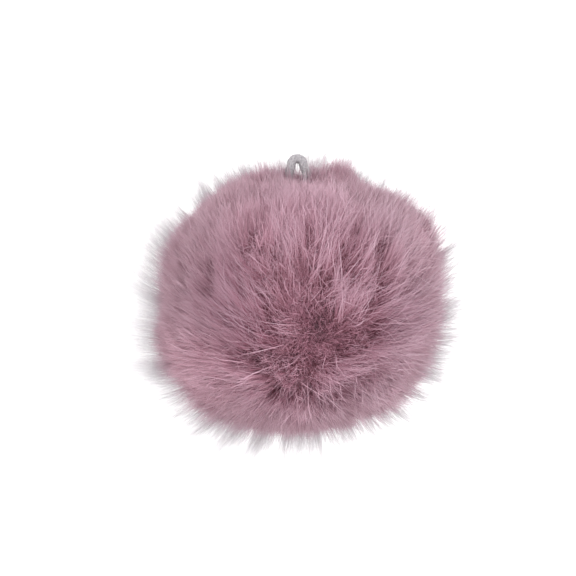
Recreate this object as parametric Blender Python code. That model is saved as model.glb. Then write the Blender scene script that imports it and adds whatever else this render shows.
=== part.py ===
"""Fur pom pom with an elastic hanging loop, lying on a flat surface with the loop pointing along +Y.

The fur is one solid: a small ball of gathered skin that carries locks of fur all round. Each lock is a
three-sided tuft that widens as it leaves the skin, leans with the nap and narrows to its tip. Under the
ball the fur is pressed into a level foot. The loop is one length of round elastic cord, folded in two,
whose ends meet the skin where it is drawn together. Metres, +Z up, origin at the middle of the foot.
"""

import bisect
import math
import random

import bmesh
import bpy
from mathutils import Matrix, Vector

# The dense fur, measured to the tips of its locks.
HALF_WIDTH = 0.0389  # along X
HALF_LENGTH = 0.0360  # along Y
HALF_HEIGHT = 0.0360  # along Z, above the middle
HALF_DEPTH = 0.0410  # below the middle, if nothing were in the way
MIDDLE_HEIGHT = 0.0335  # of the middle above the surface, less than a radius: its weight flattens the ball

# The skin and the roots of the locks.
SKIN_RADIUS = 0.0200
SKIN_DIVISIONS = 3  # an icosphere of 320 faces, and each face carries a lock
SKIN_UNEVEN = 0.0012  # how far a point of the skin strays sideways
ROOT_GAP = 0.0008  # between the roots of two locks

# One row for each ring of a lock: its share of the lock's length, and how much it fills of the cone that
# opens from the middle through the lock's root.
LOCK_RINGS = (
    {"along": 0.42, "width": 0.99},
    {"along": 0.72, "width": 0.84},
    {"along": 0.90, "width": 0.47},
    {"along": 1.00, "width": 0.12},
)
FRINGE_RINGS = (  # of a lock that carries a wisp of the pale fringe, up to where the dense fur ends
    {"along": 0.42, "width": 0.99},
    {"along": 0.72, "width": 0.88},
    {"along": 0.90, "width": 0.68},
    {"along": 1.00, "width": 0.46},
)
WISP_TIP_WIDTH = 0.10
LENGTH_UNEVEN = 0.05  # how much longer or shorter than its neighbours a lock may be, as a share
TIP_STRAY = 0.6  # how far a tip may sit off the heart of its cone, as a share of the way to an edge
SEED = 11

# The nap: all the fur leans this way, by this share of the distance from the middle at its tips.
NAP = Vector((-0.04, 0.26, 0))
NAP_CURVE = 1.4  # above 1 the fur leaves the skin upright and leans more towards its tips
LOOP_WAY = Vector((0, 1, 0))
STRAIGHT_BY_LOOP = math.radians(16)  # the fur stands straight this near the loop
LEANS_PAST_LOOP = math.radians(55)  # and leans in full past here
STRAIGHT_BY_FOOT = math.radians(30)  # the same round the foot, where the ball's weight holds the fur
LEANS_PAST_FOOT = math.radians(75)

# Where the outline swells or sinks. Azimuth runs from +X towards +Y and elevation from the middle's level.
LOBES = (
    {"name": "right shoulder", "azimuth": 37, "elevation": 4, "rise": 0.0027, "spread": 15},
    {"name": "tuft beside the loop", "azimuth": 72, "elevation": 0, "rise": 0.0014, "spread": 8},
    {"name": "left of the loop", "azimuth": 118, "elevation": 6, "rise": 0.0006, "spread": 14},
    {"name": "upper left", "azimuth": 157, "elevation": 4, "rise": 0.0014, "spread": 13},
    {"name": "notch on the left", "azimuth": 179, "elevation": 2, "rise": -0.0034, "spread": 7},
    {"name": "lower left", "azimuth": 197, "elevation": -4, "rise": 0.0020, "spread": 12},
    {"name": "below left", "azimuth": 226, "elevation": 0, "rise": 0.0014, "spread": 12},
    {"name": "hollow below", "azimuth": 283, "elevation": 0, "rise": -0.0010, "spread": 16},
    {"name": "parting at the loop", "azimuth": 88, "elevation": 6, "rise": -0.0026, "spread": 7},
    {"name": "corner on the right", "azimuth": 30, "elevation": 0, "rise": 0.0018, "spread": 7},
    {"name": "dip below the top right", "azimuth": 60, "elevation": 0, "rise": -0.0020, "spread": 6},
    {"name": "flat right side", "azimuth": 0, "elevation": 0, "rise": -0.0014, "spread": 8},
    {"name": "dip on the upper left", "azimuth": 137, "elevation": 0, "rise": -0.0010, "spread": 8},
    {"name": "corner below left", "azimuth": 225, "elevation": 0, "rise": 0.0014, "spread": 8},
    {"name": "corner below right", "azimuth": 315, "elevation": 0, "rise": 0.0016, "spread": 9},
)

# The pale fringe: locks that grow near the middle's level end in a wisp, longer on some sides than on others.
WISP_LENGTH = 0.0040
SHORTEST_WISP = 0.0008  # a lock with less than this carries none
WISP_UNEVEN = 0.28  # how much longer or shorter than that a wisp may be, as a share
FRINGE_LOWEST, FRINGE_FULL = math.radians(-48), math.radians(-30)
FRINGE_FADES, FRINGE_HIGHEST = math.radians(4), math.radians(22)
FRINGES = (
    {"name": "left", "azimuth": 165, "more": 0.10, "spread": 22},
    {"name": "lower left", "azimuth": 215, "more": 0.80, "spread": 26},
    {"name": "below", "azimuth": 275, "more": 0.30, "spread": 22},
    {"name": "below right", "azimuth": 330, "more": 0.10, "spread": 22},
    {"name": "upper right", "azimuth": 45, "more": -0.65, "spread": 20},
    {"name": "beside the loop", "azimuth": 88, "more": -0.60, "spread": 14},
    {"name": "upper left", "azimuth": 125, "more": -0.40, "spread": 20},
)

# The foot, where the fur is pressed flat.
FOOT_ANGLE = math.radians(30)  # the skin faces this near straight down belong to it
FOOT_RADIUS = 0.0145
PRESSED_SHARE = 0.985  # of the way down to the surface, as far as the rings before a lock's tip may come

FUR_COLOUR = (0.32, 0.17, 0.21)

# The hanging loop.
CORD_COLOUR = (0.50, 0.49, 0.50)
CORD_DIAMETER = 0.0024
LOOP_TIP = 0.0398  # from the middle to the outside of the fold
LOOP_LEAN = -0.0006  # how far the fold sits to the side of the seat
LOOP_HALF_WIDTHS = (  # of the cord's centreline, from the skin to where the fold begins
    {"along": 0.00, "half_width": 0.0014},
    {"along": 0.25, "half_width": 0.0018},
    {"along": 0.65, "half_width": 0.0026},
    {"along": 0.85, "half_width": 0.0024},
    {"along": 1.00, "half_width": 0.0016},
)
LEG_STEPS = 9
FOLD_POINTS = 8  # an even number, so that the fold's outermost stretch runs level
SEAT_GAP = 0.0003  # between the cord's ends and the skin

MIDDLE = Vector((0, 0, MIDDLE_HEIGHT))
DOWN = Vector((0, 0, -1))


def clear_scene():
    for obj in list(bpy.data.objects):
        bpy.data.objects.remove(obj, do_unlink=True)


def make_material(name, colour, roughness):
    material = bpy.data.materials.new(name)
    material.use_nodes = True
    shader = material.node_tree.nodes["Principled BSDF"]
    shader.inputs["Base Color"].default_value = (*colour, 1.0)
    shader.inputs["Roughness"].default_value = roughness
    shader.inputs["Metallic"].default_value = 0.0
    return material


def smooth_step(low, high, value):
    share = min(1.0, max(0.0, (value - low) / (high - low)))
    return share * share * (3 - 2 * share)


def direction_of(azimuth, elevation):
    a, e = math.radians(azimuth), math.radians(elevation)
    return Vector((math.cos(a) * math.cos(e), math.sin(a) * math.cos(e), math.sin(e)))


def fur_radius(way):
    """How far the tips of the locks reach from the middle, in that direction."""
    half_z = HALF_HEIGHT if way.z > 0 else HALF_DEPTH
    scaled = Vector((way.x / HALF_WIDTH, way.y / HALF_LENGTH, way.z / half_z))
    reach = 1 / scaled.length
    for lobe in LOBES:
        off = math.degrees(way.angle(direction_of(lobe["azimuth"], lobe["elevation"])))
        reach += lobe["rise"] * math.exp(-0.5 * (off / lobe["spread"]) ** 2)
    return reach


def nap_lean(way):
    """The sideways lean of the fur's tips where it grows in that direction, along the skin."""
    clear_of_loop = smooth_step(STRAIGHT_BY_LOOP, LEANS_PAST_LOOP, way.angle(LOOP_WAY))
    clear_of_foot = smooth_step(STRAIGHT_BY_FOOT, LEANS_PAST_FOOT, way.angle(DOWN))
    return (NAP - way * way.dot(NAP)) * clear_of_loop * clear_of_foot


def comb(point):
    """Moves a point of upright fur, measured from the middle, to where the nap lays it."""
    reach = point.length
    way = point / reach
    share = max(0.0, (reach - SKIN_RADIUS) / (HALF_WIDTH - SKIN_RADIUS))
    return (way + nap_lean(way) * share**NAP_CURVE).normalized() * reach


def make_skin():
    """The ball of skin about the middle, turned so that an edge of its net stands upright at the loop."""
    skin = bmesh.new()
    bmesh.ops.create_icosphere(skin, subdivisions=SKIN_DIVISIONS, radius=SKIN_RADIUS)
    skin.edges.ensure_lookup_table()
    seat_edge = skin.edges[0]
    low, high = (vert.co.copy() for vert in seat_edge.verts)
    forward = (low + high).normalized()
    upward = (high - low).normalized()
    turn = Matrix((forward.cross(upward), forward, upward))
    bmesh.ops.rotate(skin, verts=skin.verts, cent=(0, 0, 0), matrix=turn)
    return skin, list(seat_edge.link_faces)


def flatten_seat(seat_faces):
    """Makes the skin one flat where it is drawn together. Returns how far that is from the middle."""
    points = {vert for face in seat_faces for vert in face.verts}
    level = min(vert.co.y for vert in points)
    for vert in points:
        vert.co.y = level
    return level


def roughen_skin(skin, kept, rng):
    """Moves the points of the skin sideways a little, so that no two locks are alike."""
    for vert in skin.verts:
        stray = Vector([rng.uniform(-1, 1) for _ in range(3)])
        if vert in kept:
            continue
        way = vert.co.normalized()
        stray -= way * stray.dot(way)
        vert.co = (vert.co + stray * SKIN_UNEVEN).normalized() * SKIN_RADIUS


def press_foot(skin, faces):
    """Draws those faces down to the surface as one level foot."""
    foot = bmesh.ops.dissolve_faces(skin, faces=faces)["region"][0]
    foot = bmesh.ops.extrude_discrete_faces(skin, faces=[foot])["faces"][0]
    widest = max(math.hypot(vert.co.x, vert.co.y) for vert in foot.verts)
    for vert in foot.verts:
        spread = FOOT_RADIUS / math.sqrt(widest * math.hypot(vert.co.x, vert.co.y))
        vert.co = (vert.co.x * spread, vert.co.y * spread, -MIDDLE_HEIGHT)


def above_surface(point, share=1.0):
    """Draws a point that lies below the surface back towards the middle, to that share of the way down."""
    if point.z >= -MIDDLE_HEIGHT:
        return point
    return point * (share * MIDDLE_HEIGHT / -point.z)


def wisp_length(way, rng):
    """How far the wisp of a lock that grows in that direction stands out of the dense fur."""
    elevation = math.asin(way.z)
    share = smooth_step(FRINGE_LOWEST, FRINGE_FULL, elevation)
    share *= 1 - smooth_step(FRINGE_FADES, FRINGE_HIGHEST, elevation)
    for fringe in FRINGES:
        off = math.degrees(way.angle(direction_of(fringe["azimuth"], 0)))
        share *= 1 + fringe["more"] * math.exp(-0.5 * (off / fringe["spread"]) ** 2)
    return WISP_LENGTH * share * (1 + rng.uniform(-WISP_UNEVEN, WISP_UNEVEN))


def grow_lock(skin, face, rng, wisp_rng):
    """Draws one face of the skin out into a lock, ring by ring, inside the cone of its own face.

    Near the middle's level the lock ends in a wisp of the fringe.
    """
    roots = [vert.co.copy() for vert in face.verts]
    shares = [1 + rng.uniform(-TIP_STRAY, TIP_STRAY) for _ in roots]
    heart = sum((root * share for root, share in zip(roots, shares)), Vector()) / sum(shares)
    tip_way = comb(heart.normalized() * HALF_WIDTH).normalized()
    uneven = 1 + rng.uniform(-LENGTH_UNEVEN, LENGTH_UNEVEN)
    reach = above_surface(tip_way * fur_radius(tip_way) * uneven).length
    wisp = wisp_length(tip_way, wisp_rng)
    table = LOCK_RINGS if wisp < SHORTEST_WISP else FRINGE_RINGS
    rings = [(SKIN_RADIUS + (reach - SKIN_RADIUS) * ring["along"], ring["width"]) for ring in table]
    if table is FRINGE_RINGS:
        rings.append((reach + wisp, WISP_TIP_WIDTH))
    for distance, width in rings:
        lowest = 1.0 if distance == rings[-1][0] else PRESSED_SHARE
        face = bmesh.ops.extrude_discrete_faces(skin, faces=[face])["faces"][0]
        for vert, root in zip(face.verts, roots):
            way = (heart + (root - heart) * width).normalized()
            vert.co = above_surface(comb(way * distance), lowest)


def make_fur(material):
    rng = random.Random(SEED)
    skin, seat_faces = make_skin()
    foot_faces = [
        face for face in skin.faces if face.calc_center_median().angle(DOWN) < FOOT_ANGLE
    ]
    kept = {vert for face in seat_faces + foot_faces for vert in face.verts}
    seat_level = flatten_seat(seat_faces)
    roughen_skin(skin, kept, rng)
    bare = set(seat_faces) | set(foot_faces)
    lock_faces = [face for face in skin.faces if face not in bare]
    press_foot(skin, foot_faces)
    bmesh.ops.inset_individual(skin, faces=lock_faces, thickness=ROOT_GAP / 2)
    wisp_rng = random.Random(SEED)
    for face in lock_faces:
        grow_lock(skin, face, rng, wisp_rng)
    bmesh.ops.recalc_face_normals(skin, faces=skin.faces)
    mesh = bpy.data.meshes.new("fur_ball")
    skin.to_mesh(mesh)
    skin.free()
    mesh.shade_smooth()
    mesh.set_sharp_from_angle(angle=math.radians(50))
    mesh.materials.append(material)
    fur = bpy.data.objects.new("fur_ball", mesh)
    fur.location = MIDDLE
    return fur, seat_level


def loop_half_width(along):
    """The loop's half width at that share of its legs, read smoothly between the rows of its table."""
    shares = [width["along"] for width in LOOP_HALF_WIDTHS]
    row = min(len(shares) - 2, bisect.bisect_right(shares, along) - 1)
    low, high = LOOP_HALF_WIDTHS[row], LOOP_HALF_WIDTHS[row + 1]
    share = smooth_step(low["along"], high["along"], along)
    return low["half_width"] + (high["half_width"] - low["half_width"]) * share


def loop_points(seat_level):
    """The cord's middle line, from one end up its leg, round the fold and back."""
    fold_radius = LOOP_HALF_WIDTHS[-1]["half_width"]
    start = seat_level + SEAT_GAP
    fold_start = LOOP_TIP - CORD_DIAMETER / 2 - fold_radius
    leg = [
        (loop_half_width(step / LEG_STEPS), start + (fold_start - start) * step / LEG_STEPS)
        for step in range(LEG_STEPS)
    ]
    fold = []
    for step in range(FOLD_POINTS):
        angle = math.pi * step / (FOLD_POINTS - 1)
        fold.append((fold_radius * math.cos(angle), fold_start + fold_radius * math.sin(angle)))
    upright = leg + fold + [(-x, y) for x, y in reversed(leg)]
    return [(x + LOOP_LEAN * ((y - start) / (LOOP_TIP - start)) ** 2, y) for x, y in upright]


def make_loop(material, seat_level):
    curve = bpy.data.curves.new("hanging_loop", "CURVE")
    curve.dimensions = "3D"
    curve.bevel_depth = CORD_DIAMETER / 2
    curve.bevel_resolution = 2
    curve.use_fill_caps = True
    points = loop_points(seat_level)
    spline = curve.splines.new("POLY")
    spline.points.add(len(points) - 1)
    for point, (x, y) in zip(spline.points, points):
        point.co = (x, y, 0, 1)
    curve.materials.append(material)
    loop = bpy.data.objects.new("hanging_loop", curve)
    loop.location = MIDDLE
    return loop


def main():
    clear_scene()
    collection = bpy.data.collections.new("fur_pom_pom")
    bpy.context.scene.collection.children.link(collection)
    fur, seat_level = make_fur(make_material("fur", FUR_COLOUR, roughness=0.85))
    loop = make_loop(make_material("elastic_cord", CORD_COLOUR, roughness=0.7), seat_level)
    for obj in (fur, loop):
        collection.objects.link(obj)


main()
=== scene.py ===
"""The looks of a fur pom pom with an elastic loop, seen from straight above on a white surface.

All the fur is real geometry: tapered strands, each a narrow ribbon, that grow from a ball of underwool. They
stand in clumps, the clumps in tufts, and all of them lean with one nap. Metres, +Z up.

The named values come first. Then come the field that the strands follow, the tufts and clumps, the strands,
the materials, the fur, the hanging loop and the stage.
"""

import math

import bmesh
import bpy
import numpy as np
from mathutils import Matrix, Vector


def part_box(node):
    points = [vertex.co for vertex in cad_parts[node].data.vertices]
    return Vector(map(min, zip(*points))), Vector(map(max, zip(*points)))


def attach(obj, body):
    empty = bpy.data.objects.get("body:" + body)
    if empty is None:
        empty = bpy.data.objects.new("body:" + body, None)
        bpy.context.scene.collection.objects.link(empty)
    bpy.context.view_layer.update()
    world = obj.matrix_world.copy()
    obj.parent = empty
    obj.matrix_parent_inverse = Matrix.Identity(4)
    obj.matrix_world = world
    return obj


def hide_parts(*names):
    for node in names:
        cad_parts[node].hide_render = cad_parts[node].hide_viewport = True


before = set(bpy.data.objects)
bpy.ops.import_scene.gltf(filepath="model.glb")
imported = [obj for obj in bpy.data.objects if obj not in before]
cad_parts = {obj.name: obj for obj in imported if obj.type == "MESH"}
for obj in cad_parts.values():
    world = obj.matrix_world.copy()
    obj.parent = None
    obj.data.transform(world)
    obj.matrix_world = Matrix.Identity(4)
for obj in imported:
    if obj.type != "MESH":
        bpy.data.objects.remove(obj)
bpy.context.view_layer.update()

# The shape of the fur. Its halves, its middle and its skin are those of the part's source. Its nap and its
# lobes are close to those there.
HALF_WIDTH = 0.0389
HALF_LENGTH = 0.0360
HALF_HEIGHT = 0.0360
HALF_DEPTH = 0.0410
SKIN_RADIUS = 0.0200
MIDDLE = np.array((0.0, 0.0, 0.0335))
NAP = np.array((-0.03, 0.22, 0.0))
NAP_CURVE = 1.4
LOOP_WAY = np.array((0.0, 1.0, 0.0))
UP = np.array((0.0, 0.0, 1.0))
STRAIGHT_BY_LOOP, LEANS_PAST_LOOP = math.radians(16), math.radians(55)
STRAIGHT_BY_FOOT, LEANS_PAST_FOOT = math.radians(30), math.radians(75)
LOBES = (
    {"name": "right shoulder", "azimuth": 37, "elevation": 4, "rise": 0.0027, "spread": 15},
    {"name": "tuft beside the loop", "azimuth": 74, "elevation": 4, "rise": 0.0038, "spread": 7},
    {"name": "left of the loop", "azimuth": 118, "elevation": 6, "rise": 0.0006, "spread": 14},
    {"name": "tuft left of the loop", "azimuth": 106, "elevation": 10, "rise": 0.0010, "spread": 8},
    {"name": "upper left", "azimuth": 157, "elevation": 4, "rise": 0.0006, "spread": 13},
    {"name": "notch on the left", "azimuth": 177, "elevation": 2, "rise": -0.0034, "spread": 8},
    {"name": "lower left", "azimuth": 197, "elevation": -4, "rise": 0.0020, "spread": 12},
    {"name": "below left", "azimuth": 226, "elevation": 0, "rise": 0.0014, "spread": 12},
    {"name": "hollow below", "azimuth": 283, "elevation": 0, "rise": -0.0010, "spread": 16},
    {"name": "parting at the loop", "azimuth": 88, "elevation": 12, "rise": -0.0062, "spread": 6},
    {"name": "corner on the right", "azimuth": 30, "elevation": 0, "rise": 0.0018, "spread": 7},
    {"name": "dip below the top right", "azimuth": 60, "elevation": 0, "rise": -0.0020, "spread": 6},
    {"name": "flat right side", "azimuth": 0, "elevation": 0, "rise": -0.0014, "spread": 8},
    {"name": "dip on the upper left", "azimuth": 137, "elevation": 0, "rise": -0.0010, "spread": 8},
    {"name": "corner below left", "azimuth": 225, "elevation": 0, "rise": 0.0014, "spread": 8},
    {"name": "corner below right", "azimuth": 315, "elevation": 0, "rise": 0.0016, "spread": 9},
)

# The whorl, where the fur lies open and turns a little clockwise around it: how far the hair leans around it,
# how far away from it, and how wide each of those reaches.
WHORL = np.array((0.05, -0.43, 0.90))
SWIRL, SWIRL_TO = 0.20, math.radians(45)
OPENING, OPENING_TO = 0.19, math.radians(70)
WHORL_MESS = 1.0  # how much more than elsewhere the tufts stray there
WHORL_MESS_BETWEEN = (math.radians(5), math.radians(32))
WHORL_DENSER, WHORL_DENSER_SPREAD = 1.5, math.radians(15)  # more hair grows there, as it fans out from there
LIES_OVER, LIES_OVER_BELOW = 1.1, 0.11  # how much more the fur on top leans, where it leans less than that
LIES_OVER_BETWEEN = (0.5, 0.8)  # the heights of a unit direction, where that begins and where it is in full

# How the fur divides. Its life is how uneven it is. A pair says what holds at no life and at full life.
SEED = 7
TUFTS = 1500
CLUMPS = 7500
MOVED = 0.9  # over the root of their number: how far tufts and clumps are off an even spread
TUFT_UNEVEN = (0.012, 0.112)  # of the tufts' lengths
TUFT_LONGEST = 0.8  # in those units: some tufts are much shorter than most, and none is much longer
TUFT_LEAN = 0.12  # how far a tuft leans off the nap, as a share of the distance from the middle
TUFT_GATHER = (0.25, 0.75)  # at random between these two: how far a tuft's hair draws together at its tip
TUFT_HALF = math.radians(3.0)  # half a tuft's width, as seen from the middle
TUFT_DOME = 0.10  # how much shorter the hair is at that distance from the tuft's middle
TUFT_DOME_TO = 1.3  # such halves: beyond that it gets no shorter
CLUMP_LEAN = 0.12
CLUMP_LENGTHS = {"loc": 0.01, "scale": 0.034}  # added to the hair's length, in shares of it, and how unevenly
TUFT_TONES, CLUMP_TONES = 0.6, 0.8  # how much of a clump's tone is its tuft's, and how much its own
PALEST_TONE = 0.8  # of a clump: some are much darker than most, and none is much paler
LIVELY_WAY = np.array((0.420, -0.160, 0.893))  # the fur is most uneven here, and smoother away from it
LIVELY_WITHIN, CALM_BEYOND = math.radians(24), math.radians(70)
LEAST_LIFE = 0.16  # where the fur is smoothest
RIM_BELOW, TOP_ABOVE = math.radians(12), math.radians(52)  # elevations: the fur's sides, and its top

# How thick the hair grows. Pairs of elevations, in radians, say between where it gets thicker or thinner.
ALL_LEAST, ALL_MORE, ALL_BETWEEN = 0.55, 0.75, (-0.9, 0.4)
UPPER_LEAST, UPPER_BETWEEN = 0.22, (0.2, 0.8)
LIVELY_LEAST, LIVELY_BETWEEN = 0.12, (0.0, 0.8)
WISPS_FROM, WISPS_TO = (-1.1, -0.35), (-0.15, 0.30)
WISPY_CLUMPS = 0.16  # the share of the clumps that end in wisps
WISP_LENGTHS = (0.5, 1.5)  # at random between these two, from clump to clump
WISPS_SHORTER, WISPS_SHORTER_BETWEEN = 0.6, (0.1, 0.9)  # higher up on the ball
WISP_LIMIT = 0.35  # of the fur's reach: no wisp stands out further, but for what its tuft is longer
WISPS_UPRIGHT = 0.5  # how much less than other hair a wisp leans with the nap

# How the hairs of a clump differ.
HAIR_MESS = (0.55, 1.25)  # how far single hairs stray, at no life and at full life
LEAST_UNEVEN = 0.35  # how uneven the hairs' lengths still are at no life
DRAW_CURVE = 1.2  # hair draws together towards its tip, a little less so near its root
MIDWAY = 0.65  # of a strand's lean: hair that lies across a hollow there is shortened as well
WAVE_TURNS = (0.25, 0.8)  # how many waves a strand has
LYING_AT = (0.0001, 0.0012)  # above the surface, where hair lies on it
TONES_OF_CLUMP, TONES_OF_HAIR = 0.5, 0.7  # how much of a hair's tone is its clump's, and how much its own
PALEST_HAIR = 0.7  # no single hair is paler than that, before the patches and the sides make it so
PAINTED_RIM_TONE = 0.75  # painted light: the fur on the sides is painted paler, as if lit at the rim
EVEN_ROOT_SHADE = 0.38  # how much less the painted shade darkens the hair towards its root, at no life
WIDTHS = (0.7, 1.3)  # of single strands, as shares of their layer's width
TAPER_AT, TAPER_TO = (0, 0.35, 0.8, 1), (0.85, 1, 0.62, 0)  # a strand's width along it, from root to tip
SIDES_STRAY = 0.35  # how far a strand is turned around its own length
ROUNDER_ON_RIM = 0.6  # how much more the fur on the sides is lit as if it were one smooth ball
CELL_TALLER = 4  # than it is wide: a strand's cell in the map
CELL_SIDES, CELL_FOOT, CELL_HEIGHT = (0.1, 0.9), 0.04, 0.92  # where the strand lies in its cell

# Where the fur that faces up was combed aside: the places of its roots, in metres from the middle, and how
# far it leans in x and y, as shares of the distance from the middle.
COMBED = (
    {"name": "left of the whorl", "x": -0.0130, "y": -0.0140, "spread": 0.0085, "lean": (0.0, 0.10)},
    {"name": "below the whorl, left", "x": -0.0085, "y": -0.0240, "spread": 0.0060, "lean": (-0.06, 0.04)},
    {"name": "below the whorl", "x": 0.0055, "y": -0.0260, "spread": 0.0065, "lean": (0.24, 0.00)},
    {"name": "above the whorl, left", "x": -0.0080, "y": 0.0090, "spread": 0.0080, "lean": (-0.03, 0.0)},
    {"name": "right of the whorl", "x": 0.0250, "y": -0.0130, "spread": 0.0080, "lean": (0.0, -0.15)},
    {"name": "beside the whorl, left", "x": -0.0065, "y": -0.0115, "spread": 0.0075, "lean": (0.0, 0.07)},
    {"name": "upper left", "x": -0.0145, "y": 0.0195, "spread": 0.0065, "lean": (0.14, 0.0)},
    {"name": "above the whorl, right", "x": 0.0080, "y": 0.0110, "spread": 0.0080, "lean": (0.10, -0.02)},
    {"name": "upper right", "x": 0.0240, "y": 0.0170, "spread": 0.0060, "lean": (0.10, -0.06)},
    {"name": "right", "x": 0.0264, "y": 0.0010, "spread": 0.0060, "lean": (0.0, 0.08)},
)

# Hollows in the fur that faces up: where they are and how wide, in metres, how deep, as a share of the fur's
# reach, how far they push the hair aside, and how much longer along the nap some of them are.
HOLLOWS = (
    {"name": "around the whorl", "x": 0.0005, "y": -0.0080, "spread": 0.0100, "depth": 0.05, "push": 0.0},
    {"name": "left of the middle", "x": -0.0130, "y": 0.0050, "spread": 0.0075, "depth": 0.045, "push": 0.0},
    {"name": "whorl, upper", "x": 0.0042, "y": -0.0022, "spread": 0.0011, "depth": 0.26, "push": 0.9},
    {"name": "whorl, middle", "x": 0.0068, "y": -0.0060, "spread": 0.0013, "depth": 0.26, "push": 0.9},
    {"name": "whorl, right", "x": 0.0104, "y": -0.0062, "spread": 0.0011, "depth": 0.24, "push": 0.9},
    {"name": "whorl, lower", "x": 0.0084, "y": -0.0152, "spread": 0.0012, "depth": 0.20, "push": 0.9},
    {"name": "whorl, left", "x": -0.0054, "y": -0.0100, "spread": 0.0014, "depth": 0.22, "push": 0.9},
    {"name": "left of the whorl", "x": -0.0040, "y": -0.0010, "spread": 0.0011, "depth": 0.14, "push": 0.9},
    {"name": "lower left", "x": -0.0125, "y": -0.0165, "spread": 0.0018, "depth": 0.06, "push": 0.5},
    {"name": "upper left", "x": -0.013, "y": 0.021, "spread": 0.0015, "depth": 0.14, "push": 0.7,
     "longer": 2.5},
    {"name": "upper left, inner", "x": -0.0098, "y": 0.0150, "spread": 0.0015, "depth": 0.12, "push": 0.7},
    {"name": "right, upper", "x": 0.0130, "y": 0.0135, "spread": 0.0018, "depth": 0.14, "push": 0.9},
    {"name": "right", "x": 0.0200, "y": -0.0088, "spread": 0.0018, "depth": 0.16, "push": 0.9},
    {"name": "below", "x": 0.0011, "y": -0.0227, "spread": 0.0018, "depth": 0.07, "push": 0.5},
)

# Partings between tufts: small hollows at random places, longer along the nap than across it.
PARTINGS = 80
PARTING_SPREAD = (0.0007, 0.0015)
PARTING_DEPTH = (0.10, 0.25)
PARTING_LONGER = 2.0
PARTING_SEED = 3
PARTINGS_MIDDLE, PARTINGS_SPREAD = (0.0035, -0.0030), 0.0155
PARTINGS_WITHIN = 0.0285  # of the middle, as seen from above
PARTING_STRENGTH = (0.30, 1.15)  # of their depth, at no life and at full life

# Where the fur that faces up is paler, or darker: the places of the hair's tips, in metres from the middle,
# and tones in the tones' own units.
TINTS = (
    {"name": "lower left", "x": -0.0215, "y": -0.0225, "spread": 0.0075, "tone": 1.4},
    {"name": "far left, lower", "x": -0.0320, "y": -0.0135, "spread": 0.0070, "tone": 2.6},
    {"name": "far left, upper", "x": -0.0315, "y": 0.0150, "spread": 0.0075, "tone": 1.0},
    {"name": "left", "x": -0.0200, "y": 0.0100, "spread": 0.0075, "tone": -1.4},
    {"name": "left of the middle", "x": -0.0200, "y": -0.0030, "spread": 0.0060, "tone": -1.1},
    {"name": "left of the middle, upper", "x": -0.0104, "y": 0.0075, "spread": 0.0050, "tone": 0.8},
    {"name": "upper left rim", "x": -0.0185, "y": 0.0300, "spread": 0.0080, "tone": 2.0},
    {"name": "behind the loop", "x": 0.0050, "y": 0.0390, "spread": 0.0090, "tone": 1.9},
    {"name": "upper right rim", "x": 0.0150, "y": 0.0315, "spread": 0.0070, "tone": 0.8},
    {"name": "upper right", "x": 0.0160, "y": 0.0190, "spread": 0.0065, "tone": -0.4},
    {"name": "right, upper", "x": 0.0280, "y": 0.0150, "spread": 0.0070, "tone": 0.7},
    {"name": "right", "x": 0.0320, "y": -0.0035, "spread": 0.0050, "tone": -1.2},
    {"name": "below", "x": -0.0010, "y": -0.0195, "spread": 0.0075, "tone": 1.9},
    {"name": "below right", "x": 0.0110, "y": -0.0246, "spread": 0.0050, "tone": -0.9},
)

# Where the pale fringe is longer or shorter than elsewhere.
FRINGES = (
    {"name": "left", "azimuth": 165, "more": 0.15, "spread": 22},
    {"name": "lower left", "azimuth": 215, "more": 1.30, "spread": 26},
    {"name": "below", "azimuth": 275, "more": 0.70, "spread": 22},
    {"name": "below right", "azimuth": 330, "more": 0.45, "spread": 22},
    {"name": "beside the loop", "azimuth": 87, "more": -0.40, "spread": 14},
    {"name": "upper right", "azimuth": 45, "more": -0.65, "spread": 20},
    {"name": "upper left", "azimuth": 125, "more": -0.40, "spread": 20},
)

# One row for each layer of the fur. Roots, tips and even lengths are shares of the fur's reach, widths are in
# metres. Hair strays that far from its clump's middle and is pulled back to it by that share. The rounder a
# layer is, the more it is lit as if it were one smooth ball.
LAYERS = (
    {
        "name": "fur_down", "where": "all", "colour": "down", "pieces": 2, "strands": 26000, "points": 4,
        "root": 0.74, "tip": (0.88, 0.99), "even": 1.02, "width": 0.00022, "stray": 0.040, "pull": 0.45,
        "wave": 0.006, "lean": 0.045, "tones": 0.5, "roundness": 0.85,
    },
    {
        "name": "fur_tufts", "where": "all", "colour": "tufts", "pieces": 2, "strands": 36000, "points": 4,
        "root": 0.81, "tip": (0.94, 1.05), "even": 1.00, "width": 0.00011, "stray": 0.034, "pull": 0.65,
        "wave": 0.014, "lean": 0.045, "tones": 0.6, "roundness": 0.75,
    },
    {
        "name": "fur_guard", "where": "upper", "colour": "guard", "pieces": 1, "strands": 22000, "points": 4,
        "root": 0.87, "tip": (0.98, 1.07), "even": 1.00, "width": 0.00009, "stray": 0.040, "pull": 0.60,
        "wave": 0.018, "lean": 0.060, "tones": 0.8, "roundness": 0.5,
    },
    {
        "name": "fur_hairs", "where": "lively", "colour": "hairs", "pieces": 1, "strands": 11000, "points": 5,
        "root": 0.86, "tip": (0.98, 1.05), "even": 1.00, "width": 0.00014, "stray": 0.045, "pull": 0.25,
        "wave": 0.036, "lean": 0.150, "tones": 0.8, "roundness": 0.4,
    },
    {
        "name": "fur_wisps", "where": "low", "colour": "wisps", "pieces": 1, "strands": 17000, "points": 4,
        "root": 0.93, "tip": (1.06, 1.33), "width": 0.00008, "stray": 0.034, "pull": 0.80,
        "wave": 0.012, "lean": 0.020, "tones": 1.0, "roundness": 0.1,
    },
)

# The underwool, its radius as a share of the fur's reach.
CORE_ON_TOP, CORE_ON_RIM = 0.78, 0.92
CORE_DIVIDED = 5
CORE_LEAN = 0.6  # its points are moved that share of the nap, as the fur over them leans
CORE_ABOVE = 0.0004  # the surface

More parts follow.
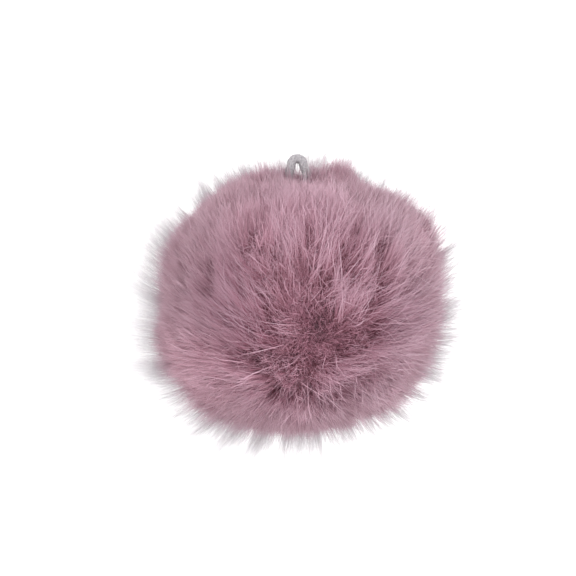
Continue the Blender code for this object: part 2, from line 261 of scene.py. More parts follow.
# The loop's cord, as in the part's source, and the braid over it.
CORD_DIAMETER = 0.0024
LOOP_TIP = 0.0398  # from the ball's middle to the outside of the fold
LOOP_LEAN = -0.0006  # how far the fold leans to the side
LOOP_HALF_WIDTHS = (
    {"along": 0.00, "half_width": 0.0014},
    {"along": 0.25, "half_width": 0.0018},
    {"along": 0.65, "half_width": 0.0026},
    {"along": 0.85, "half_width": 0.0024},
    {"along": 1.00, "half_width": 0.0016},
)
LEG_STEPS, FOLD_STEPS = 80, 50
LOOP_STEPS = 260  # once its middle line is evenly divided
RUBBER_SIDES = 10
YARNS = 6  # in each direction
YARN_SIDES = 6
BRAID_PITCH = 0.0070  # along the cord, for one turn of a yarn
BRAID_LIFT = 0.00005  # how far a yarn rises and sinks as it passes the others
YARN_WIDTH, YARN_THICKNESS = 0.00076, 0.00020
LINT = {"strands": 2400, "reach": (0.0002, 0.0009), "width": 0.00005, "roundness": 0.6}
LINT_FOOT = 0.44  # of the cord's diameter, from its middle line
LINT_STRAY = 0.9  # how far fibres drift off the way that they start out
LINT_BEND, LINT_TIP = 0.4, 0.6  # of a fibre's reach
LINT_TIP_OUT, LINT_TIP_DRIFT = 0.5, 1.2  # its tip lies over, and goes less far out than it drifts

# Colours, from the hair's root to its tip. Places along it are shares of the fur's reach. The darkest, near
# the roots, is painted shade deep between the strands; the paler tips are the hair's own colour.
INNERMOST, OUTERMOST = 0.65, 1.25  # all such places lie between these two
ROOT_SHADE = (0.235, 0.090, 0.115)
BODY = (0.41, 0.200, 0.256)
PALE = (0.545, 0.328, 0.400)
SILVER = (0.590, 0.407, 0.480)
GREY = (0.66, 0.635, 0.655)
WHITE = (0.82, 0.81, 0.825)
PAINTED_RIM_PALER = 0.18  # painted rim light: how much less coloured the fur on the sides is painted
DARKER_DEEPER = 0.11  # how much more coloured the darker hair is, for each unit of its tone
HAIR_LOOKS = {
    "down": {"stops": ((0.80, ROOT_SHADE), (0.90, BODY), (1.0, PALE)), "tone_depth": 0.07, "see_through": 0.35},
    "tufts": {
        "stops": ((0.82, ROOT_SHADE), (0.91, BODY), (0.98, PALE), (1.04, SILVER)),
        "tone_depth": 0.12, "see_through": 0.4,
    },
    "guard": {"stops": ((0.84, BODY), (0.93, PALE), (1.02, SILVER)), "tone_depth": 0.13, "see_through": 0.45},
    "hairs": {"stops": ((0.82, BODY), (0.90, PALE), (0.99, SILVER)), "tone_depth": 0.20, "see_through": 0.45},
    # The wisps are greyer nearer the fur, partly painted shade there, and whiter at their tips.
    "wisps": {
        "stops": ((0.95, PALE), (1.00, SILVER), (1.06, GREY), (1.15, WHITE)),
        "tone_depth": 0.05, "see_through": 0.6,
    },
}
HAIR_ROUGH, HAIR_SHINE = 0.6, 0.2

# Colours of the underwool and the cord, uneven in small lumps: how many a metre, and how finely divided. The
# places in their stops are values of that noise.
CORE_LUMPS, CORE_DETAIL = 900, 4
# The darker stops are painted shade, where the underwool shows between the strands on top; the paler ones are
# its own colour, on the sides.
CORE_SHADE = ((0.3, (0.09, 0.035, 0.048)), (0.7, (0.20, 0.09, 0.12)))
CORE_PALE = ((0.25, (0.33, 0.18, 0.225)), (0.75, (0.46, 0.27, 0.33)))
CORE_ROUGH = 0.9
CORD_LUMPS, CORD_DETAIL = 2200, 3
CORD_LOW, CORD_HIGH = (0.27, 0.255, 0.27), (0.39, 0.375, 0.39)
CORD_STOPS = ((0.3, CORD_LOW), (0.7, CORD_HIGH))
CORD_ROUGH, CORD_SHINE = 0.8, 0.2

# The lint's colours. Its fibres take the one at 1.
LINT_LOOK = {"stops": ((0.7, CORD_LOW), (1.2, CORD_HIGH)), "tone_depth": 0.08, "see_through": 0.4}

# The stage.
FLOOR_SIZE, FLOOR_WHITE, FLOOR_ROUGH = 6, (0.95, 0.95, 0.95), 0.9
SKY_STRENGTH = 1.54
KEY_PLACE, KEY_SIZE, KEY_POWER = (0.18, -0.02, 1.08), 0.8, 8
PIXEL = 0.000267  # metres a pixel of the picture, at the level of the ball's middle
PICTURE = 576
BALL_AT = (299, 303)  # the ball's middle in the picture
LENS = 150
SENSOR = 36
NEAREST_SEEN, FURTHEST_SEEN = 0.01, 20

NEVER_ZERO = 1e-12  # the least length that a vector is divided by

rng = np.random.default_rng(SEED)


# ---- Sums ----


def unit(vectors):
    return vectors / np.maximum(np.linalg.norm(vectors, axis=-1, keepdims=True), NEVER_ZERO)


def between(low, high, share):
    return low + (high - low) * share


def smooth_step(low, high, value):
    share = np.clip((value - low) / (high - low), 0, 1)
    return share * share * (3 - 2 * share)


def bump(off, spread):
    """1 at the middle of a place, and less away from it."""
    return np.exp(-0.5 * (off / spread) ** 2)


def angle_to(ways, target):
    return np.arccos(np.clip(ways @ target, -1, 1))


def across_only(vectors, ways):
    """What is left of the vectors without their part along those directions."""
    return vectors - ways * np.sum(vectors * ways, -1, keepdims=True)


# ---- The field that all strands follow ----


def near_azimuth(ways, row):
    """How near those directions are to the row's: 1 is right at it."""
    turn, rise = math.radians(row["azimuth"]), math.radians(row.get("elevation", 0))
    target = np.array((math.cos(turn) * math.cos(rise), math.sin(turn) * math.cos(rise), math.sin(rise)))
    return bump(np.degrees(angle_to(ways, target)), row["spread"])


def near_place(ways, row):
    """How near those directions are to the row's place on the fur that faces up: 1 is right at it."""
    off = np.hypot(ways[..., 0] * HALF_WIDTH - row["x"], ways[..., 1] * HALF_LENGTH - row["y"])
    return bump(off, row["spread"]) * (ways[..., 2] > 0)


def fur_reach(ways):
    """How far the fur reaches from the middle, in those directions."""
    half_z = np.where(ways[..., 2] > 0, HALF_HEIGHT, HALF_DEPTH)
    halves = np.stack([np.full_like(half_z, HALF_WIDTH), np.full_like(half_z, HALF_LENGTH), half_z], -1)
    reach = 1 / np.linalg.norm(ways / halves, axis=-1)
    for lobe in LOBES:
        reach = reach + lobe["rise"] * near_azimuth(ways, lobe)
    return reach


def nap_lean(ways):
    clear_of_loop = smooth_step(STRAIGHT_BY_LOOP, LEANS_PAST_LOOP, angle_to(ways, LOOP_WAY))
    clear_of_foot = smooth_step(STRAIGHT_BY_FOOT, LEANS_PAST_FOOT, angle_to(ways, -UP))
    return (NAP - ways * (ways @ NAP)[..., None]) * (clear_of_loop * clear_of_foot)[..., None]


def whorl_lean(ways):
    """The fur opens around the whorl, and turns a little clockwise there."""
    off = angle_to(ways, WHORL)
    turning = np.cross(ways, WHORL) * (SWIRL * (1 - smooth_step(0, SWIRL_TO, off)))[..., None]
    opening = ways * (ways @ WHORL)[..., None] - WHORL
    return turning + opening * (OPENING * (1 - smooth_step(0, OPENING_TO, off)))[..., None]


def combed_lean(ways):
    """The fur that was combed aside, on the side that faces up."""
    leans = np.zeros_like(ways)
    for patch in COMBED:
        leans += np.array((*patch["lean"], 0.0)) * near_place(ways, patch)[..., None]
    return across_only(leans, ways)


def flow(ways):
    """How all the fur leans in those directions, before its tufts, clumps and hairs stray."""
    return nap_lean(ways) + whorl_lean(ways) + combed_lean(ways)


def laid_over(leans, ways):
    """The same leans, but larger where they are small, so that the fur on top lies over near the whorl."""
    sizes = np.linalg.norm(leans, axis=-1, keepdims=True)
    more = LIES_OVER / (1 + (sizes / LIES_OVER_BELOW) ** 2)
    return leans * (1 + more * smooth_step(*LIES_OVER_BETWEEN, ways[..., 2:]))


def tint_at(ways):
    """How much paler than elsewhere the fur is in those directions, in the tones' own units."""
    tints = np.zeros(len(ways))
    for tint in TINTS:
        tints += tint["tone"] * near_place(ways, tint)
    return tints


def life_at(ways):
    """How uneven the fur is in those directions: its life, up to 1."""
    calm = smooth_step(LIVELY_WITHIN, CALM_BEYOND, angle_to(ways, LIVELY_WAY))
    return between(LEAST_LIFE, 1, 1 - calm)


def rim_at(ways):
    """0 where the fur faces up, 1 on the sides and below."""
    elevations = np.arcsin(np.clip(ways[..., 2], -1, 1))
    return 1 - smooth_step(RIM_BELOW, TOP_ABOVE, elevations)


def rise_at(radius):
    """How much of its lean a strand has, at that distance from the middle."""
    return np.maximum((radius - SKIN_RADIUS) / (HALF_WIDTH - SKIN_RADIUS), 0) ** NAP_CURVE


# ---- Hollows and partings ----


def place_on_top(x, y):
    """The direction of a place on the fur that faces up, given in metres from the middle."""
    return unit(np.array((x, y, math.sqrt(HALF_HEIGHT**2 - x**2 - y**2))))


def make_partings():
    chance = np.random.default_rng(PARTING_SEED)
    partings = []
    for _ in range(PARTINGS):
        x, y = chance.normal(PARTINGS_MIDDLE, PARTINGS_SPREAD)
        if math.hypot(x, y) > PARTINGS_WITHIN:
            continue
        strength = between(*PARTING_STRENGTH, life_at(place_on_top(x, y)))
        partings.append({
            "x": x, "y": y, "spread": chance.uniform(*PARTING_SPREAD), "longer": PARTING_LONGER,
            "depth": chance.uniform(*PARTING_DEPTH) * strength, "push": min(strength, 1.0),
        })
    return partings


def near_hollow(hollow, ways):
    """How those directions lie from the hollow's middle, and how much of its depth each of them gets."""
    centre = place_on_top(hollow["x"], hollow["y"])
    away = ways - centre
    nap = unit(flow(centre))
    along = away @ nap
    across = np.linalg.norm(away - along[:, None] * nap, axis=-1)
    off = np.hypot(along / hollow.get("longer", 1.0), across)
    return away, bump(off, hollow["spread"] / HALF_HEIGHT)


def apply_hollows(hollows, tips, middles, leans, shares):
    """Pushes the hair away from each hollow, and shortens the hair that ends there or lies across it."""
    for hollow in hollows:
        away, fade = near_hollow(hollow, tips)
        crossing = near_hollow(hollow, middles)[1]
        leans = leans + away * (hollow["push"] * fade)[:, None]
        shares = shares - hollow["depth"] * np.maximum(fade, crossing)
    return leans, shares


# ---- Tufts and clumps ----


def spread_ways(count):
    """Directions spread evenly over a sphere, in a golden spiral, each then moved a little."""
    step = np.arange(count) + 0.5
    height = 1 - 2 * step / count
    turn = np.pi * (1 + 5**0.5) * step
    ring = np.sqrt(1 - height**2)
    ways = np.stack([np.cos(turn) * ring, np.sin(turn) * ring, height], -1)
    return unit(ways + rng.normal(0, MOVED / math.sqrt(count), (count, 3)))


def along_skin(ways, size):
    """A random vector along the skin at each of those directions."""
    return across_only(rng.normal(0, 1, ways.shape), ways) * size


def nearest(ways, centres, at_once=4000):
    """For each direction, the centre nearest to it."""
    found = np.empty(len(ways), int)
    for start in range(0, len(ways), at_once):
        found[start : start + at_once] = np.argmax(ways[start : start + at_once] @ centres.T, 1)
    return found


class Tufts:
    """Where the clumps gather, and how each tuft differs from the others."""

    def __init__(self):
        self.ways = spread_ways(TUFTS)
        self.leans = along_skin(self.ways, TUFT_LEAN)
        uneven = between(*TUFT_UNEVEN, life_at(self.ways))
        self.lengths = 1 + np.minimum(rng.normal(0, 1, TUFTS), TUFT_LONGEST) * uneven
        self.tones = rng.normal(0, 1, TUFTS)
        self.gathers = rng.uniform(*TUFT_GATHER, TUFTS)


class Clumps:
    """The clumps that the tufts are made of, and how each differs from the others."""

    def __init__(self):
        tufts = Tufts()
        self.ways = spread_ways(CLUMPS)
        self.elevations = np.arcsin(self.ways[:, 2])
        self.life = life_at(self.ways)
        tuft = nearest(self.ways, tufts.ways)
        self.leans = self.find_leans(tufts.leans[tuft])
        self.gathers = (tufts.ways[tuft] - self.ways) * (tufts.gathers[tuft] * self.life)[:, None]
        self.tuft_lengths = tufts.lengths[tuft]
        self.lengths = self.find_lengths(tufts.ways[tuft])
        self.tones = self.find_tones(tufts.tones[tuft])
        self.tints = tint_at(unit(self.ways + self.leans))
        # Painted light: the fur on the sides is made paler.
        self.painted_rim_tones = PAINTED_RIM_TONE * rim_at(self.ways)
        self.weights = self.find_weights()
        self.hollows = [*HOLLOWS, *make_partings()]
        self.spikes = self.find_spikes()

    def find_leans(self, tuft_leans):
        """With the flow, and off it by the tuft's own lean and the clump's."""
        mess = 1 + WHORL_MESS * (1 - smooth_step(*WHORL_MESS_BETWEEN, angle_to(self.ways, WHORL)))
        own_leans = tuft_leans * mess[:, None] + along_skin(self.ways, CLUMP_LEAN)
        return laid_over(flow(self.ways), self.ways) + own_leans * self.life[:, None]

    def find_lengths(self, tuft_ways):
        """Shorter towards the tuft's edge, and a little uneven."""
        off_centre = np.arccos(np.clip(np.sum(self.ways * tuft_ways, -1), -1, 1)) / TUFT_HALF
        domes = 1 - TUFT_DOME * np.minimum(off_centre, TUFT_DOME_TO) ** 2 * self.life
        return domes * (1 + rng.normal(**CLUMP_LENGTHS, size=CLUMPS) * self.life)

    def find_tones(self, tuft_tones):
        tones = TUFT_TONES * tuft_tones + CLUMP_TONES * rng.normal(0, 1, CLUMPS)
        return np.minimum(tones, PALEST_TONE) * self.life

    def find_weights(self):
        """How much hair grows in each clump, for each of the places that a layer can be at."""
        wispy = rng.uniform(0, 1, CLUMPS) < WISPY_CLUMPS
        low = smooth_step(*WISPS_FROM, self.elevations) * (1 - smooth_step(*WISPS_TO, self.elevations))
        lively = smooth_step(*LIVELY_BETWEEN, self.elevations) * between(LIVELY_LEAST, 1, self.life)
        denser = 1 + WHORL_DENSER * bump(angle_to(self.ways, WHORL), WHORL_DENSER_SPREAD)
        return {
            "all": (ALL_LEAST + ALL_MORE * smooth_step(*ALL_BETWEEN, self.elevations)) * denser,
            "upper": (UPPER_LEAST + smooth_step(*UPPER_BETWEEN, self.elevations)) * denser,
            "lively": lively * denser,
            "low": low * wispy,
        }

    def find_spikes(self):
        """How far the wisps of each clump stand out."""
        lower = 1 - WISPS_SHORTER * smooth_step(*WISPS_SHORTER_BETWEEN, self.elevations)
        spikes = rng.uniform(*WISP_LENGTHS, CLUMPS) * lower
        for fringe in FRINGES:
            spikes *= 1 + fringe["more"] * near_azimuth(self.ways, fringe)
        return spikes


# ---- Strands ----


def grow(clumps, layer, count):
    """The points of that many strands, how far out each point is, and each strand's tone."""
    weights = clumps.weights[layer["where"]]
    clump = rng.choice(CLUMPS, count, p=weights / weights.sum())
    clump_ways, life = clumps.ways[clump], clumps.life[clump]
    roots = unit(clump_ways + along_skin(clump_ways, layer["stray"]))
    leans = clumps.leans[clump] + along_skin(roots, layer["lean"]) * between(*HAIR_MESS, life)[:, None]
    shares = rng.uniform(*layer["tip"], count) * clumps.lengths[clump]
    if layer["where"] == "low":
        shares = 1 + WISP_LIMIT * np.tanh((shares - 1) * clumps.spikes[clump] / WISP_LIMIT)
        leans = leans - whorl_lean(clump_ways) - WISPS_UPRIGHT * nap_lean(clump_ways)
    else:
        shares = layer["even"] + (shares - layer["even"]) * between(LEAST_UNEVEN, 1, life)
    shares = shares * clumps.tuft_lengths[clump]
    draw = (clump_ways - roots) * layer["pull"] + clumps.gathers[clump]
    rises = rise_at(fur_reach(clump_ways) * shares)[:, None]
    tips = unit(roots + draw + leans * rises)
    middles = unit(roots + draw * MIDWAY + leans * rises * MIDWAY)
    leans, shares = apply_hollows(clumps.hollows, tips, middles, leans, shares)
    reach = fur_reach(unit(roots + draw + leans * rises))
    low, high = reach * layer["root"], reach * shares
    points = strand_points(roots, draw, leans, low, high, layer)
    outs = (low / reach)[:, None] + ((high - low) / reach)[:, None] * np.linspace(0, 1, layer["points"])
    # Painted shade: the colour darkens with depth towards the root, less so where the fur is calm.
    outs = np.where(outs < 1, 1 - (1 - outs) * (1 - EVEN_ROOT_SHADE * (1 - life)[:, None]), outs)
    return points, outs, strand_tones(clumps, clump, layer)


def strand_points(roots, draw, leans, low, high, layer):
    """Each strand goes out from its root, draws to its clump, bends with its lean, and waves a little."""
    count = len(roots)
    wave_ways = along_skin(roots, layer["wave"])
    turns = rng.uniform(*WAVE_TURNS, count)
    phases = rng.uniform(0, 2 * np.pi, count)
    floors = rng.uniform(*LYING_AT, count)
    points = np.empty((count, layer["points"], 3))
    for i, along in enumerate(np.linspace(0, 1, layer["points"])):
        radius = between(low, high, along)
        wave = np.sin(2 * np.pi * turns * along + phases) * along
        ways = roots + draw * along**DRAW_CURVE + leans * rise_at(radius)[:, None] + wave_ways * wave[:, None]
        points[:, i] = unit(ways) * radius[:, None] + MIDDLE
    points[..., 2] = np.maximum(points[..., 2], floors[:, None])
    return points


def strand_tones(clumps, clump, layer):
    """Each strand's tone, above 0 where it is paler: its clump's and its own, the patch's, and the rim's,
    which is painted light.
    """
    own = TONES_OF_HAIR * rng.normal(0, 1, len(clump)) * clumps.life[clump]
    tones = (TONES_OF_CLUMP * clumps.tones[clump] + own) * layer["tones"]
    tones = np.where(tones > 0, PALEST_HAIR * np.tanh(tones / PALEST_HAIR), tones)
    return tones + clumps.tints[clump] + clumps.painted_rim_tones[clump]


def ribbon_sides(points):
    """A unit vector across each strand, which turns its broad side outwards, less so where it is upright."""
    along = unit(points[:, -1] - points[:, 0])
    outward = unit(points[:, -1] - MIDDLE)
    sides = np.cross(along, outward) + SIDES_STRAY * rng.normal(0, 1, along.shape)
    sides = unit(across_only(sides, along))
    faces_in = np.sum(np.cross(sides, along) * outward, -1) < 0
    sides[faces_in] *= -1
    return sides


def ribbon_mesh(name, points, outs, tones, layer, material):
    """One mesh of all the strands: pairs of points up each, and one at its tip."""
    count, rings = points.shape[:2]
    order = np.argsort(tones)
    points, outs, tones = points[order], outs[order], tones[order]
    sides = ribbon_sides(points)
    widths = layer["width"] * rng.uniform(*WIDTHS, count)
    steps = np.linspace(0, 1, rings)
    taper = np.interp(steps, TAPER_AT, TAPER_TO)
    half = 0.5 * widths[:, None, None] * taper[None, :, None] * sides[:, None, :]
    twice = [2] * (rings - 1) + [1]
    left_or_right = np.array([-1, 1] * (rings - 1) + [0])[:, None]
    coords = np.repeat(points, twice, 1) + np.repeat(half, twice, 1) * left_or_right
    corners, sizes = strand_faces(count, rings)
    mesh = smooth_mesh(name, coords.reshape(-1, 3), corners, sizes)
    rims = rim_at(unit(points[:, -1] - MIDDLE))
    add_attribute(mesh, "out", np.repeat(outs, twice, 1))
    add_attribute(mesh, "rim", np.repeat(rims, sum(twice)))
    add_attribute(mesh, "tone", np.repeat(tones, sum(twice)))
    add_map(mesh, corners, count, np.repeat(steps, twice))
    own = unit(np.cross(sides, points[:, -1] - points[:, 0]))[:, None]
    own_share = (1 - layer["roundness"]) * (1 - ROUNDER_ON_RIM * rims[:, None, None])
    normals = unit(own * own_share + unit(coords - MIDDLE) * (1 - own_share))
    mesh.normals_split_custom_set_from_vertices(normals.reshape(-1, 3))
    return add_piece(name, mesh, material)


def strand_faces(count, rings):
    """The point at each corner of the strands' faces, and how many corners each face has."""
    each = 2 * rings - 1
    first = np.arange(count)[:, None] * each
    quads = [first + np.array((k, k + 1, k + 3, k + 2)) for k in range(0, each - 3, 2)]
    tips = first + np.array((each - 3, each - 2, each - 1))
    return np.concatenate(quads + [tips], 1).ravel(), np.tile([4] * (rings - 2) + [3], count)


def smooth_mesh(name, coords, corners, sizes):
    """A mesh from its points, the point at each corner of its faces, and how many corners each face has."""
    mesh = bpy.data.meshes.new(name)
    mesh.vertices.add(len(coords))
    mesh.vertices.foreach_set("co", coords.astype(np.float32).ravel())
    mesh.loops.add(len(corners))
    mesh.loops.foreach_set("vertex_index", corners.astype(np.int32))
    mesh.polygons.add(len(sizes))
    starts = np.concatenate(([0], np.cumsum(sizes)[:-1]))
    mesh.polygons.foreach_set("loop_start", starts.astype(np.int32))
    mesh.polygons.foreach_set("use_smooth", np.ones(len(sizes), bool))
    mesh.update(calc_edges=True)
    return mesh


def add_attribute(mesh, name, values):
    attribute = mesh.attributes.new(name, "FLOAT", "POINT")
    attribute.data.foreach_set("value", values.astype(np.float32).ravel())


def add_map(mesh, corners, count, share):
    """A map with a cell for each strand, in rows, with like tones side by side."""
    columns = math.ceil(math.sqrt(count * CELL_TALLER))
    rows = math.ceil(count / columns)
    strand = np.arange(count)
    left = (strand % columns)[:, None] / columns
    low = (strand // columns)[:, None] / rows
    across = np.full(len(share), 0.5)
    across[0:-1:2], across[1:-1:2] = CELL_SIDES
    u = left + across[None] / columns
    v = low + (CELL_FOOT + CELL_HEIGHT * share[None]) / rows
    uv = np.stack([u.ravel(), v.ravel()], -1)[corners]
    layer = mesh.uv_layers.new(name="OFBake")
    layer.data.foreach_set("uv", uv.astype(np.float32).ravel())


def add_piece(name, mesh, material):
    mesh.materials.append(material)
    piece = bpy.data.objects.new(name, mesh)
    bpy.context.scene.collection.objects.link(piece)
    return piece


# ---- Materials ----


def new_tree(name):
    material = bpy.data.materials.new(name)
    material.use_nodes = True
    tree = material.node_tree
    return material, tree, tree.nodes["Principled BSDF"]


def attribute_value(tree, name):
    node = tree.nodes.new("ShaderNodeAttribute")
    node.attribute_name = name
    return node.outputs["Fac"]


def worked_out(tree, operation, *values, clamped=False):
    """The result of a sum, of which each value is a number or the output of another node."""
    node = tree.nodes.new("ShaderNodeMath")
    node.operation = operation
    node.use_clamp = clamped
    for socket, value in zip(node.inputs, values):
        if isinstance(value, bpy.types.NodeSocket):
            tree.links.new(value, socket)
        else:
            socket.default_value = value
    return node.outputs[0]


def noise_value(tree, scale, detail):
    """Noise that is fixed to the piece."""
    coords = tree.nodes.new("ShaderNodeTexCoord")
    noise = tree.nodes.new("ShaderNodeTexNoise")
    noise.inputs["Scale"].default_value = scale
    noise.inputs["Detail"].default_value = detail
    tree.links.new(coords.outputs["Object"], noise.inputs["Vector"])
    return noise.outputs["Fac"]


def ramp_colour(tree, value, stops):
    """The colour of a value, from stops that each have a place between 0 and 1 and a colour."""
    node = tree.nodes.new("ShaderNodeValToRGB")
    elements = node.color_ramp.elements
    for i, (place, colour) in enumerate(stops):
        stop = elements[0] if i == 0 else elements.new(place)
        stop.position, stop.color = place, (*colour, 1)
    elements.remove(elements[-1])
    tree.links.new(value, node.inputs["Fac"])
    return node.outputs["Color"]


def hair_material(name, stops, tone_depth, see_through):
    """Colours a strand by how far out it is, darker with painted shade towards its root, lighter or darker by
    its tone, paler and less coloured on the sides as painted rim light, and lets light through it.
    """
    material, tree, shader = new_tree(name)
    nodes, links = tree.nodes, tree.links
    out, tone, rim = (attribute_value(tree, attribute) for attribute in ("out", "tone", "rim"))
    scale = nodes.new("ShaderNodeMapRange")
    scale.inputs["From Min"].default_value = INNERMOST
    scale.inputs["From Max"].default_value = OUTERMOST
    links.new(out, scale.inputs["Value"])
    places = [((share - INNERMOST) / (OUTERMOST - INNERMOST), colour) for share, colour in stops]
    # Painted rim light: the fur on the sides is made less coloured.
    paler = worked_out(tree, "MULTIPLY_ADD", rim, -PAINTED_RIM_PALER, 1.0)
    darker = worked_out(tree, "MULTIPLY", tone, -DARKER_DEEPER, clamped=True)
    shade = nodes.new("ShaderNodeHueSaturation")
    links.new(ramp_colour(tree, scale.outputs["Result"], places), shade.inputs["Color"])
    links.new(worked_out(tree, "ADD", paler, darker), shade.inputs["Saturation"])
    links.new(worked_out(tree, "MULTIPLY_ADD", tone, tone_depth, 1.0), shade.inputs["Value"])
    links.new(shade.outputs["Color"], shader.inputs["Base Color"])
    shader.inputs["Roughness"].default_value = HAIR_ROUGH
    shader.inputs["Specular IOR Level"].default_value = HAIR_SHINE
    through = nodes.new("ShaderNodeBsdfTranslucent")
    links.new(shade.outputs["Color"], through.inputs["Color"])
    mix = nodes.new("ShaderNodeMixShader")
    mix.inputs["Fac"].default_value = see_through
    links.new(shader.outputs["BSDF"], mix.inputs[1])
    links.new(through.outputs["BSDF"], mix.inputs[2])
    links.new(mix.outputs["Shader"], nodes["Material Output"].inputs["Surface"])
    return material


def core_material():
    """Darker with painted shade between the strands on top, and in its own paler colour on the sides."""
    material, tree, shader = new_tree("underwool")
    lumps = noise_value(tree, CORE_LUMPS, CORE_DETAIL)
    mix = tree.nodes.new("ShaderNodeMix")
    mix.data_type = "RGBA"
    tree.links.new(attribute_value(tree, "rim"), mix.inputs["Factor"])
    tree.links.new(ramp_colour(tree, lumps, CORE_SHADE), mix.inputs["A"])
    tree.links.new(ramp_colour(tree, lumps, CORE_PALE), mix.inputs["B"])
    tree.links.new(mix.outputs["Result"], shader.inputs["Base Color"])
    shader.inputs["Roughness"].default_value = CORE_ROUGH
    return material


def cord_material():
    """Pale grey yarn, uneven along its length."""
    material, tree, shader = new_tree("elastic_cord")
    lumps = noise_value(tree, CORD_LUMPS, CORD_DETAIL)
    tree.links.new(ramp_colour(tree, lumps, CORD_STOPS), shader.inputs["Base Color"])
    shader.inputs["Roughness"].default_value = CORD_ROUGH
    shader.inputs["Specular IOR Level"].default_value = CORD_SHINE
    return material


# ---- The fur ----


def make_core(material):
    """The underwool: the dense fur under the strands, a smooth ball that follows the outline's lobes."""
    ball = bmesh.new()
    bmesh.ops.create_icosphere(ball, subdivisions=CORE_DIVIDED, radius=1)
    mesh = bpy.data.meshes.new("underwool")
    ball.to_mesh(mesh)
    ball.free()
    ways = np.empty(len(mesh.vertices) * 3)
    mesh.vertices.foreach_get("co", ways)
    ways = unit(ways.reshape(-1, 3))
    ways = unit(ways + nap_lean(ways) * CORE_LEAN)
    depth = between(CORE_ON_TOP, CORE_ON_RIM, rim_at(ways))
    points = ways * (fur_reach(ways) * depth)[:, None] + MIDDLE
    points[:, 2] = np.maximum(points[:, 2], CORE_ABOVE)
    mesh.vertices.foreach_set("co", points.ravel())
    add_attribute(mesh, "rim", rim_at(ways))
    mesh.shade_smooth()
    return add_piece("underwool", mesh, material)


def make_fur(clumps):
    materials = {name: hair_material(f"fur_{name}", **look) for name, look in HAIR_LOOKS.items()}
    made = []
    for layer in LAYERS:
        for i in range(layer["pieces"]):
            points, outs, tones = grow(clumps, layer, layer["strands"])
            name = f"{layer['name']}_{i + 1}"
            made.append(ribbon_mesh(name, points, outs, tones, layer, materials[layer["colour"]]))
    return made


# ---- The hanging loop ----


def loop_route():
    """The middle line of the loop's cord, from the skin round the fold and back, evenly spaced."""
    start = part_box("hanging_loop")[0][1]
    shares = np.array([row["along"] for row in LOOP_HALF_WIDTHS])
    halves = np.array([row["half_width"] for row in LOOP_HALF_WIDTHS])
    fold_radius = halves[-1]
    fold_start = LOOP_TIP - CORD_DIAMETER / 2 - fold_radius
    along = np.linspace(0, 1, LEG_STEPS, endpoint=False)
    row = np.clip(np.searchsorted(shares, along, "right") - 1, 0, len(shares) - 2)
    step = (along - shares[row]) / (shares[row + 1] - shares[row])
    leg_x = between(halves[row], halves[row + 1], smooth_step(0, 1, step))
    leg = np.stack([leg_x, between(start, fold_start, along)], -1)
    turn = np.linspace(0, np.pi, FOLD_STEPS)
    fold = np.stack([np.cos(turn) * fold_radius, np.sin(turn) * fold_radius + fold_start], -1)
    flat = np.concatenate([leg, fold, leg[::-1] * (-1, 1)])
    flat[:, 0] += LOOP_LEAN * ((flat[:, 1] - start) / (LOOP_TIP - start)) ** 2
    length = np.concatenate(([0], np.cumsum(np.linalg.norm(np.diff(flat, axis=0), axis=1))))
    even = np.linspace(0, length[-1], LOOP_STEPS)
    x, y = np.interp(even, length, flat[:, 0]), np.interp(even, length, flat[:, 1])
    return np.stack([x, y, np.full(LOOP_STEPS, MIDDLE[2])], -1), even


def along_route(route):
    return unit(np.gradient(route, axis=0))


def around(sides):
    """The cosines and the sines of the corners of a round section."""
    angles = np.linspace(0, 2 * np.pi, sides + 1)[:-1]
    return np.cos(angles)[None, :, None], np.sin(angles)[None, :, None]


def tube_mesh(name, rings, material):
    """A closed tube through rings of points, given as an array of rings by points."""
    count, corners = rings.shape[:2]
    grid = np.arange(count * corners).reshape(count, corners)
    ahead = np.roll(grid, -1, 1)
    faces = np.stack([grid[:-1], ahead[:-1], ahead[1:], grid[1:]], -1).reshape(-1, 4).tolist()
    faces += [grid[0, ::-1].tolist(), grid[-1].tolist()]
    mesh = bpy.data.meshes.new(name)
    mesh.from_pydata(rings.reshape(-1, 3).tolist(), [], faces)
    mesh.shade_smooth()
    return add_piece(name, mesh, material)


def yarn_rings(route, even, way, start_turn):
    """The rings of one yarn: a flat helix that passes over and under those that wind the other way."""
    across = np.cross(along_route(route), UP)
    turn = 2 * np.pi * even / BRAID_PITCH
    weave = way * BRAID_LIFT * np.cos(YARNS * turn)
    angle = (way * turn + start_turn)[:, None]
    out = across * np.cos(angle) + UP * np.sin(angle)
    radius = CORD_DIAMETER / 2 - YARN_THICKNESS / 2 - BRAID_LIFT + weave
    middle = route + out * radius[:, None]
    side = unit(np.cross(out, along_route(middle)))
    cosines, sines = around(YARN_SIDES)
    wide = side[:, None] * (cosines * YARN_WIDTH / 2)
    thick = out[:, None] * (sines * YARN_THICKNESS / 2)
    return middle[:, None] + (wide + thick)


def make_braid(material):
    """The braided cover of the elastic cord, over its rubber, as one piece."""
    route, even = loop_route()
    across = np.cross(along_route(route), UP)
    cosines, sines = around(RUBBER_SIDES)
    disc = across[:, None] * cosines + UP * sines
    rubber = CORD_DIAMETER / 2 - YARN_THICKNESS - BRAID_LIFT
    tubes = [tube_mesh("loop_braid", route[:, None] + disc * rubber, material)]
    for way in (1, -1):
        for yarn in range(YARNS):
            rings = yarn_rings(route, even, way, 2 * np.pi * yarn / YARNS)
            tubes.append(tube_mesh(f"yarn_{way}_{yarn}", rings, material))
    with bpy.context.temp_override(active_object=tubes[0], selected_editable_objects=tubes):
        bpy.ops.object.join()
    return tubes[0]


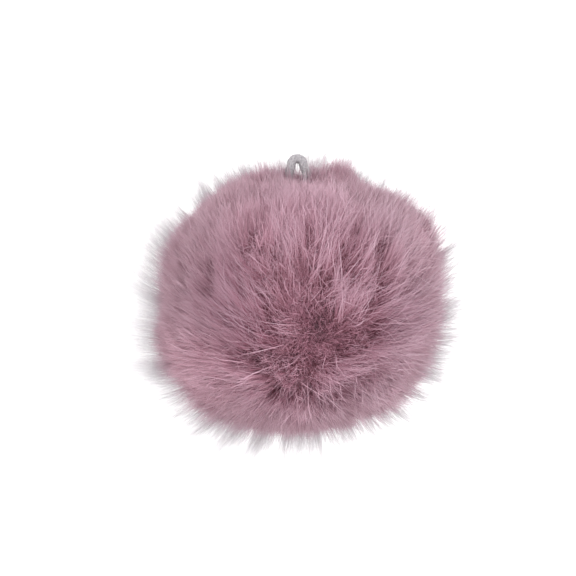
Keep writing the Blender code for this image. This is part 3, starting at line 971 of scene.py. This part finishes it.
def make_lint(material):
    """The fine fibres that stand off the braid."""
    route, _ = loop_route()
    count = LINT["strands"]
    spot = rng.integers(0, LOOP_STEPS, count)
    out = unit(across_only(rng.normal(0, 1, (count, 3)), along_route(route)[spot]))
    drift = unit(out + LINT_STRAY * rng.normal(0, 1, out.shape))
    reach = rng.uniform(*LINT["reach"], count)[:, None]
    foot = route[spot] + out * CORD_DIAMETER * LINT_FOOT
    bend = foot + (out + drift) * reach * LINT_BEND
    tip = foot + (LINT_TIP_OUT * out + LINT_TIP_DRIFT * drift) * reach * LINT_TIP
    points = np.stack([foot, bend, tip], 1)
    outs = np.full((count, 3), 1.0)
    return ribbon_mesh("loop_lint", points, outs, rng.normal(0, 1, count), LINT, material)


def make_loop():
    braid = make_braid(cord_material())
    lint = make_lint(hair_material("loop_lint", **LINT_LOOK))
    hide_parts("hanging_loop")
    return [braid, lint]


# ---- Stage ----


def make_stage():
    bpy.ops.mesh.primitive_plane_add(size=FLOOR_SIZE)
    floor = bpy.context.object
    floor.name = "floor"
    material, _, shader = new_tree("white_surface")
    shader.inputs["Base Color"].default_value = (*FLOOR_WHITE, 1)
    shader.inputs["Roughness"].default_value = FLOOR_ROUGH
    shader.inputs["Specular IOR Level"].default_value = 0
    floor.data.materials.append(material)


def make_lights():
    """An even white sky, and one large soft light from above, a little to the right."""
    world = bpy.data.worlds.new("soft_white")
    world.use_nodes = True
    world.node_tree.nodes["Background"].inputs["Color"].default_value = (1, 1, 1, 1)
    world.node_tree.nodes["Background"].inputs["Strength"].default_value = SKY_STRENGTH
    bpy.context.scene.world = world
    light = bpy.data.lights.new("key", "AREA")
    light.shape = "DISK"
    light.size = KEY_SIZE
    light.energy = KEY_POWER
    key = bpy.data.objects.new("key", light)
    key.location = KEY_PLACE
    key.rotation_euler = Vector(MIDDLE - np.array(KEY_PLACE)).to_track_quat("-Z", "Y").to_euler()
    bpy.context.scene.collection.objects.link(key)


def make_camera():
    camera = bpy.data.cameras.new("camera")
    camera.lens, camera.sensor_width = LENS, SENSOR
    camera.clip_start, camera.clip_end = NEAREST_SEEN, FURTHEST_SEEN
    distance = PIXEL * PICTURE * LENS / SENSOR
    obj = bpy.data.objects.new("camera", camera)
    obj.location = (
        (PICTURE / 2 - BALL_AT[0]) * PIXEL,
        (BALL_AT[1] - PICTURE / 2) * PIXEL,
        MIDDLE[2] + distance,
    )
    bpy.context.scene.collection.objects.link(obj)
    bpy.context.scene.camera = obj


def main():
    bpy.context.scene.view_settings.view_transform = "Standard"
    make_camera()
    clumps = Clumps()
    core = make_core(core_material())
    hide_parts("fur_ball")
    for piece in [core, *make_fur(clumps)]:
        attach(piece, "root")
    for piece in make_loop():
        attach(piece, "root")
    make_stage()
    make_lights()


main()
